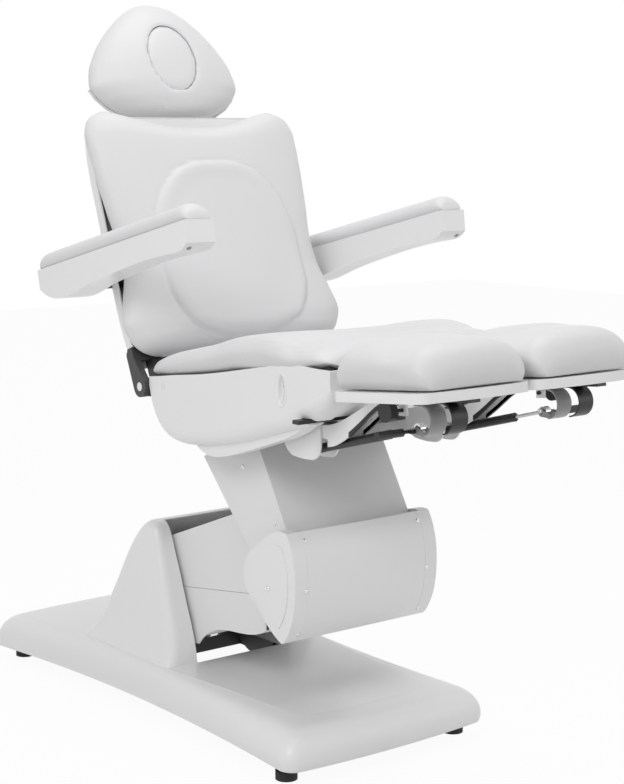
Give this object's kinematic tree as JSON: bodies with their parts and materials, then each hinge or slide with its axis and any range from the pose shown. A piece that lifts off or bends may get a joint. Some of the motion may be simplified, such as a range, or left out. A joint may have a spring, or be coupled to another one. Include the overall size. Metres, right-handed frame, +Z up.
{
  "type": "podiatry chair",
  "caption": "Powered podiatry chair: low base with tower, folding two-arm lift, padded seat, reclining back, headrest, swing-up armrests and separate leg rests on gas springs.",
  "frame": {"origin": "on the floor under the middle of the chair's overall box", "axes": "+Z up, -Y the way the seated person faces, +X the person's left"},
  "size_m": [0.7804, 1.6843, 1.6808],
  "materials": {
    "upholstery": "soft satin",
    "white_moulding": "gloss",
    "foot_rubber": "matte",
    "black_plastic": "matte",
    "bright_steel": "polished",
    "black_metal": "satin",
    "grey_metal": "satin",
    "frame_metal": "satin"
  },
  "bodies": {
    "base": {"base_frame": "frame_metal", "base_front_cover": "white_moulding", "base_rear_cover": "white_moulding", "levelling_feet": "foot_rubber", "tower_shafts": "bright_steel", "control_box": "black_plastic", "mains_inlet": "black_plastic", "lift_actuator": "black_plastic"},
    "lift_rod": {"lift_actuator_rod": "bright_steel"},
    "lower_arm": {"lower_arm_frame": "frame_metal", "lower_arm_top_cover": "white_moulding", "lower_arm_skirt": "white_moulding"},
    "lower_link": {"lower_link": "frame_metal"},
    "knuckle": {"knuckle_frame": "frame_metal", "knuckle_front_cover": "white_moulding", "knuckle_side_caps": "white_moulding", "knuckle_shafts": "bright_steel"},
    "upper_arm": {"upper_arm_frame": "frame_metal", "upper_arm_cover": "white_moulding"},
    "upper_link": {"upper_link": "frame_metal"},
    "seat_carrier": {"seat_carrier": "frame_metal"},
    "seat": {"seat_frame": "frame_metal", "seat_pan": "white_moulding", "seat_under_covers": "white_moulding", "seat_cushion": "upholstery"},
    "swing_lock": {"swing_lock_lever": "black_plastic"},
    "back_drive": {"back_actuator": "black_plastic"},
    "back_drive_rod": {"back_actuator_rod": "bright_steel"},
    "back": {"back_frame": "frame_metal", "back_hinge_shaft": "bright_steel", "back_shell": "white_moulding", "back_cushion": "upholstery"},
    "headrest_bars": {"headrest_bars": "bright_steel"},
    "headrest": {"headrest_shell": "white_moulding", "headrest_cushion": "upholstery"},
    "breathing_plug": {"breathing_plug": "upholstery"},
    "armrest_left": {"armrest_shell_left": "white_moulding", "armrest_pad_left": "upholstery"},
    "leg_bracket_left": {"leg_bracket_left": "white_moulding"},
    "leg_arm_left": {"leg_arm_left": "black_metal", "leg_strap_left": "grey_metal"},
    "leg_spring_left": {"leg_gas_spring_left": "black_metal"},
    "leg_spring_rod_left": {"leg_spring_rod_left": "bright_steel"},
    "leg_grip_left": {"leg_release_grip_left": "black_plastic"},
    "leg_rest_left": {"leg_rail_left": "black_metal", "leg_tray_left": "white_moulding", "leg_cushion_left": "upholstery"},
    "leg_knob_left": {"leg_clamp_knob_left": "black_plastic"},
    "armrest_right": {"armrest_shell_right": "white_moulding", "armrest_pad_right": "upholstery"},
    "leg_bracket_right": {"leg_bracket_right": "white_moulding"},
    "leg_arm_right": {"leg_arm_right": "black_metal", "leg_strap_right": "grey_metal"},
    "leg_spring_right": {"leg_gas_spring_right": "black_metal"},
    "leg_spring_rod_right": {"leg_spring_rod_right": "bright_steel"},
    "leg_grip_right": {"leg_release_grip_right": "black_plastic"},
    "leg_rest_right": {"leg_rail_right": "black_metal", "leg_tray_right": "white_moulding", "leg_cushion_right": "upholstery"},
    "leg_knob_right": {"leg_clamp_knob_right": "black_plastic"}
  },
  "joints": [
    {"name": "lift", "type": "hinge", "parent": "base", "child": "lower_arm", "pos_m": [0, 0.29, 0.25], "axis": [-1, 0, 0], "range_deg": [-10, 6]},
    {"name": "lift_rod_slide", "type": "slide", "parent": "base", "child": "lift_rod", "axis": [0, -0.986, 0.1669], "range_m": [-0.0195, 0.0118]},
    {"name": "lower_link_swing", "type": "hinge", "parent": "base", "child": "lower_link", "pos_m": [0, 0.335, 0.3], "axis": [-1, 0, 0], "range_deg": [-10, 6]},
    {"name": "knuckle_swing", "type": "hinge", "parent": "lower_arm", "child": "knuckle", "pos_m": [0, -0.21, 0.36], "axis": [-1, 0, 0], "range_deg": [-6, 10]},
    {"name": "upper_arm_swing", "type": "hinge", "parent": "knuckle", "child": "upper_arm", "pos_m": [0, -0.24, 0.44], "axis": [-1, 0, 0], "range_deg": [-12, 20]},
    {"name": "upper_link_swing", "type": "hinge", "parent": "knuckle", "child": "upper_link", "pos_m": [0.046, -0.274, 0.467], "axis": [-1, 0, 0], "range_deg": [-12, 20]},
    {"name": "carrier_swing", "type": "hinge", "parent": "upper_arm", "child": "seat_carrier", "pos_m": [0, 0.005, 0.74], "axis": [-1, 0, 0], "range_deg": [-20, 12]},
    {"name": "seat_tilt", "type": "hinge", "parent": "seat_carrier", "child": "seat", "pos_m": [0, -0.06, 0.765], "axis": [-1, 0, 0], "range_deg": [-9, 4]},
    {"name": "swing_lock_pull", "type": "slide", "parent": "seat", "child": "swing_lock", "axis": [-1, 0, 0], "range_m": [0, 0.012], "stiffness_N_per_m": 400, "springref_m": -0.005},
    {"name": "back_recline", "type": "hinge", "parent": "seat", "child": "back", "pos_m": [0, 0.145, 0.79], "axis": [-1, 0, 0], "range_deg": [0, 60]},
    {"name": "back_drive_swing", "type": "hinge", "parent": "seat", "child": "back_drive", "pos_m": [0.194, -0.33, 0.808], "axis": [-1, 0, 0], "range_deg": [0, 0.94]},
    {"name": "back_drive_slide", "type": "slide", "parent": "back_drive", "child": "back_drive_rod", "axis": [0, 0.9904, -0.1381], "range_m": [-0.0556, 0]},
    {"name": "headrest_height", "type": "slide", "parent": "back", "child": "headrest_bars", "axis": [0, 0.3665, 0.9304], "range_m": [0, 0.1]},
    {"name": "headrest_tilt", "type": "hinge", "parent": "headrest_bars", "child": "headrest", "pos_m": [0, 0.49076, 1.42765], "axis": [-1, 0, 0], "range_deg": [0, 30]},
    {"name": "breathing_plug_pull", "type": "slide", "parent": "headrest", "child": "breathing_plug", "axis": [0, -0.9304, 0.3665], "range_m": [0, 0.07]},
    {"name": "armrest_swing_left", "type": "hinge", "parent": "back", "child": "armrest_left", "pos_m": [0, 0.261, 1.017], "axis": [-1, 0, 0], "range_deg": [0, 75]},
    {"name": "leg_swing_left", "type": "hinge", "parent": "seat", "child": "leg_bracket_left", "pos_m": [0.172, -0.4, 0.78], "axis": [0, 0, 1], "range_deg": [0, 18]},
    {"name": "leg_tilt_left", "type": "hinge", "parent": "leg_bracket_left", "child": "leg_arm_left", "pos_m": [0.172, -0.39, 0.75], "axis": [1, 0, 0], "range_deg": [0, 65]},
    {"name": "leg_length_left", "type": "slide", "parent": "leg_arm_left", "child": "leg_rest_left", "axis": [0, -0.9954, 0.0958], "range_m": [0, 0.08]},
    {"name": "leg_spring_swing_left", "type": "hinge", "parent": "leg_bracket_left", "child": "leg_spring_left", "pos_m": [0.172, -0.385, 0.712], "axis": [1, 0, 0], "range_deg": [0, 66.8]},
    {"name": "leg_spring_slide_left", "type": "slide", "parent": "leg_spring_left", "child": "leg_spring_rod_left", "axis": [0, -0.9663, 0.2576], "range_m": [-0.0405, 0]},
    {"name": "leg_grip_lift_left", "type": "hinge", "parent": "leg_arm_left", "child": "leg_grip_left", "pos_m": [0.193, -0.69, 0.79], "axis": [0, -0.9954, 0.0958], "range_deg": [0, 8], "stiffness_Nm_per_rad": 3, "springref_deg": -5.73},
    {"name": "leg_knob_turn_left", "type": "hinge", "parent": "leg_arm_left", "child": "leg_knob_left", "pos_m": [0.228, -0.65978, 0.82721], "axis": [1, 0, 0], "range_deg": [0, 270]},
    {"name": "armrest_swing_right", "type": "hinge", "parent": "back", "child": "armrest_right", "pos_m": [0, 0.261, 1.017], "axis": [-1, 0, 0], "range_deg": [0, 75]},
    {"name": "leg_swing_right", "type": "hinge", "parent": "seat", "child": "leg_bracket_right", "pos_m": [-0.172, -0.4, 0.78], "axis": [0, 0, -1], "range_deg": [0, 18]},
    {"name": "leg_tilt_right", "type": "hinge", "parent": "leg_bracket_right", "child": "leg_arm_right", "pos_m": [-0.172, -0.39, 0.75], "axis": [1, 0, 0], "range_deg": [0, 65]},
    {"name": "leg_length_right", "type": "slide", "parent": "leg_arm_right", "child": "leg_rest_right", "axis": [0, -0.9954, 0.0958], "range_m": [0, 0.08]},
    {"name": "leg_spring_swing_right", "type": "hinge", "parent": "leg_bracket_right", "child": "leg_spring_right", "pos_m": [-0.172, -0.385, 0.712], "axis": [1, 0, 0], "range_deg": [0, 66.8]},
    {"name": "leg_spring_slide_right", "type": "slide", "parent": "leg_spring_right", "child": "leg_spring_rod_right", "axis": [0, -0.9663, 0.2576], "range_m": [-0.0405, 0]},
    {"name": "leg_grip_lift_right", "type": "hinge", "parent": "leg_arm_right", "child": "leg_grip_right", "pos_m": [-0.193, -0.69, 0.79], "axis": [0, 0.9954, -0.0958], "range_deg": [0, 8], "stiffness_Nm_per_rad": 3, "springref_deg": -5.73},
    {"name": "leg_knob_turn_right", "type": "hinge", "parent": "leg_arm_right", "child": "leg_knob_right", "pos_m": [-0.228, -0.65978, 0.82721], "axis": [-1, 0, 0], "range_deg": [0, 270]}
  ],
  "couplings": [
    {"joint": "lift_rod_slide", "follows": "lift", "m_per_rad": 0.1113},
    {"joint": "lower_link_swing", "follows": "lift", "ratio": 1},
    {"joint": "knuckle_swing", "follows": "lift", "ratio": -1},
    {"joint": "upper_arm_swing", "follows": "lift", "ratio": -2},
    {"joint": "upper_link_swing", "follows": "lift", "ratio": -2},
    {"joint": "carrier_swing", "follows": "lift", "ratio": 2},
    {"joint": "back_drive_swing", "follows": "back_recline", "ratio": 0.0155},
    {"joint": "back_drive_slide", "follows": "back_recline", "m_per_rad": -0.053},
    {"joint": "leg_spring_swing_left", "follows": "leg_tilt_left", "ratio": 1.0245},
    {"joint": "leg_spring_slide_left", "follows": "leg_tilt_left", "m_per_rad": -0.03558},
    {"joint": "leg_spring_swing_right", "follows": "leg_tilt_right", "ratio": 1.0245},
    {"joint": "leg_spring_slide_right", "follows": "leg_tilt_right", "m_per_rad": -0.03558}
  ]
}
